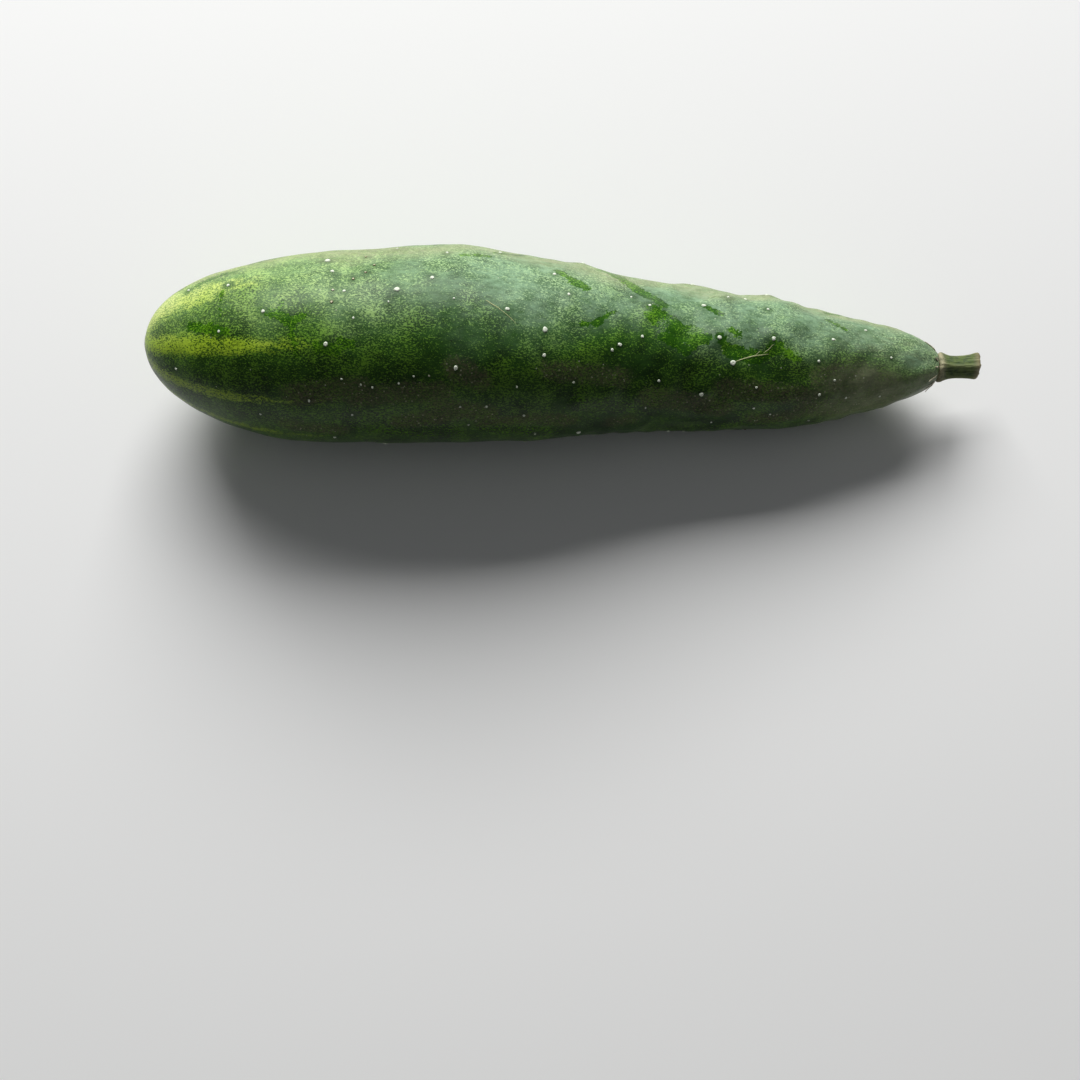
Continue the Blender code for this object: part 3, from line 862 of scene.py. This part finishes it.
stalk = new_piece('stalk_stub', to_world(points), faces, stalk_material(),
                  attributes={'along': along_s, 'ridge': ridge_s, 'cut': cut_s})
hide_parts("stalk")

# ---------------------------------------------------------------------------------------
# Dry calyx remains: thin curled straw-coloured shreds round the stalk's foot
# ---------------------------------------------------------------------------------------


def straw_material():
    n = Nodes('dry_calyx')
    here = n.place()
    fibre = n.noise(n.place((0.3, 1, 1)), 2.5, 3, 0.6)
    n.put(n.shader.inputs['Base Color'],
          n.mix(n.ramp(fibre, 0.3, 0.7), (0.34, 0.30, 0.18), (0.66, 0.62, 0.46)))
    n.put(n.shader.inputs['Roughness'], n.ramp(fibre, 0.3, 0.7, 0.65, 0.85))
    n.bump(n.noise(here, 4.0, 2, 0.5), 0.00006)
    return n.material


points, faces = [], []
r = np.random.default_rng(31)
for shred in range(15):
    a = radians(24 * shred + r.uniform(-9, 9))
    length = r.uniform(1.8, 4.6)
    width = r.uniform(0.35, 0.95)
    curl = r.uniform(-0.5, 0.9)
    swing = r.uniform(-0.25, 0.25)
    start = len(points)
    steps = 9
    for i in range(steps + 1):
        t = i / steps
        # the shred starts under the stalk's foot and follows the shoulder back
        back = LAST_X - 0.35 - length * t * 0.85
        back = max(back, LAST_X - 8)
        ang = a + swing * t
        if i < 2:
            mid = foot + np.array((-0.25 - 0.1 * i, 0, 0))
            rr = 3.2 + 0.5 * i
            p = mid + np.array((0, rr * sin(ang), rr * cos(ang)))
            nrm = np.array((1.0, 0.35 * sin(ang), 0.35 * cos(ang)))
            nrm /= np.linalg.norm(nrm)
        else:
            p, nrm, _, _ = frame_at(back, ang)
        side = np.array((0, cos(ang), -sin(ang)))
        w = width * (1 - 0.85 * t**1.3) * 0.5
        lift = 0.16 + max(0, curl) * 1.6 * t**2.2
        q = p + nrm * lift
        thick = 0.09
        for k in range(6):
            b = 2 * pi * k / 6
            points.append(q + side * w * cos(b) + nrm * thick * sin(b) * (1 + 0.6 * abs(cos(b))))
    for i in range(steps):
        for k in range(6):
            m = (k + 1) % 6
            faces.append((start + i * 6 + k, start + (i + 1) * 6 + k, start + (i + 1) * 6 + m, start + i * 6 + m))
    faces.append(tuple(range(start, start + 6)))
    faces.append(tuple(reversed(range(start + steps * 6, start + steps * 6 + 6))))
calyx = new_piece('calyx_shreds', to_world(points), faces, straw_material())

# ---------------------------------------------------------------------------------------
# Floor, light and camera
# ---------------------------------------------------------------------------------------


def floor_material():
    n = Nodes('studio_floor')
    n.put(n.shader.inputs['Base Color'], (0.86, 0.86, 0.85))
    n.shader.inputs['Roughness'].default_value = 0.9
    n.shader.inputs['Specular IOR Level'].default_value = 0.1
    return n.material


bpy.ops.mesh.primitive_plane_add(size=12, location=(0, 0, -0.00005))
floor = bpy.context.object
floor.name = 'floor'
floor.data.materials.append(floor_material())


def soft_light(name, place, target, size, power, colour=(1, 1, 1)):
    data = bpy.data.lights.new(name, 'AREA')
    data.shape = 'RECTANGLE'
    data.size, data.size_y = size
    data.energy = power
    data.color = colour
    light = bpy.data.objects.new(name, data)
    light.location = place
    light.rotation_euler = (Vector(target) - Vector(place)).to_track_quat('-Z', 'Y').to_euler()
    bpy.context.scene.collection.objects.link(light)


KEY_ANGLE = radians(54)   # from straight up towards +Y
KEY_FAR = 1.5
soft_light('key', (-0.20, KEY_FAR * sin(KEY_ANGLE), KEY_FAR * cos(KEY_ANGLE)), (0, 0, 0.02), (1.3, 0.8), 37)
soft_light('top', (0.1, -0.1, 1.7), (0, 0, 0), (1.6, 1.6), 1.2)

world = bpy.data.worlds.new('studio')
world.use_nodes = True
world.node_tree.nodes['Background'].inputs['Color'].default_value = (0.93, 0.96, 1.0, 1)
world.node_tree.nodes['Background'].inputs['Strength'].default_value = 0.08
bpy.context.scene.world = world

scene = bpy.context.scene
scene.view_settings.view_transform = 'Standard'
scene.view_settings.look = 'None'
scene.view_settings.exposure = 0.0
scene.view_settings.gamma = 1.0

# Camera: nearly straight down, 50 mm lens
elevation, azimuth = radians(80.0), radians(1.8)
look = Vector((-sin(azimuth) * cos(elevation), cos(azimuth) * cos(elevation), -sin(elevation)))
data = bpy.data.cameras.new('camera')
data.lens = 50
data.sensor_width = 36
data.clip_start, data.clip_end = 0.01, 50
camera = bpy.data.objects.new('camera', data)
camera.location = Vector(to_world((113.53, -124.63, 427.87)))
camera.rotation_mode = 'QUATERNION'
camera.rotation_quaternion = look.to_track_quat('-Z', 'Y')
bpy.context.scene.collection.objects.link(camera)
scene.camera = camera
